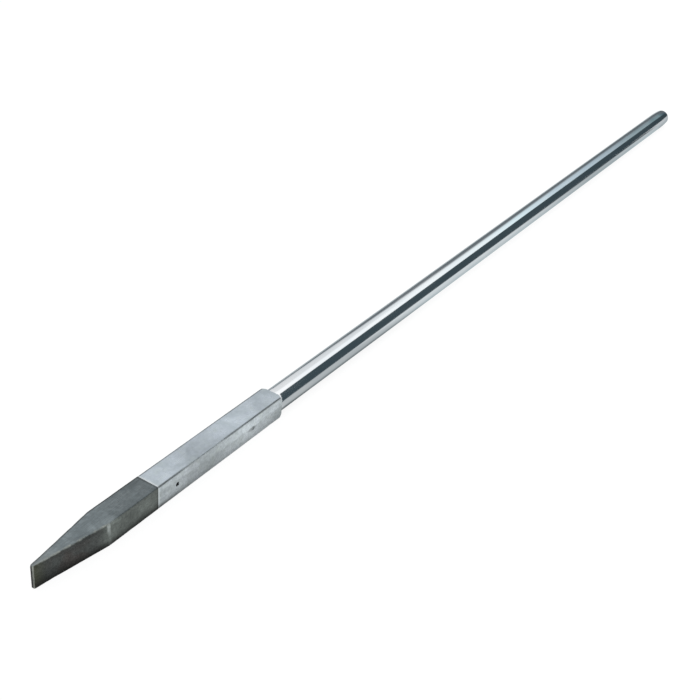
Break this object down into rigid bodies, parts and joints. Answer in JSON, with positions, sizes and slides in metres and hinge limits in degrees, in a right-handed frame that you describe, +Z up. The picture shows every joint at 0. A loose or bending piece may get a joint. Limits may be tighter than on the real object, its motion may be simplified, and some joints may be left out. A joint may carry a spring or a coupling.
{
  "type": "cold chisel",
  "caption": "Long cold chisel: a dark wedge blade set in a square bright body, with a long round polished shank that ends in a slightly rounded struck face.",
  "frame": {"origin": "centre of the tool's underside, half way between the cutting edge and the struck face, on the surface that it lies on", "axes": "+X along the tool from the cutting edge towards the struck face, +Z up through the flat top of the body, +Y to the far side; the cutting edge is parallel to Z"},
  "size_m": [1.384, 0.025, 0.025],
  "materials": {
    "blade_steel": "heat-blackened, ground, bare along its edges",
    "body_steel": "satin bright",
    "shank_steel": "polished",
    "pin_steel": "oiled"
  },
  "bodies": {
    "root": {"blade": "blade_steel", "body": "body_steel", "shank": "shank_steel", "blade_pin": "pin_steel", "shank_pin": "pin_steel"}
  },
  "joints": []
}
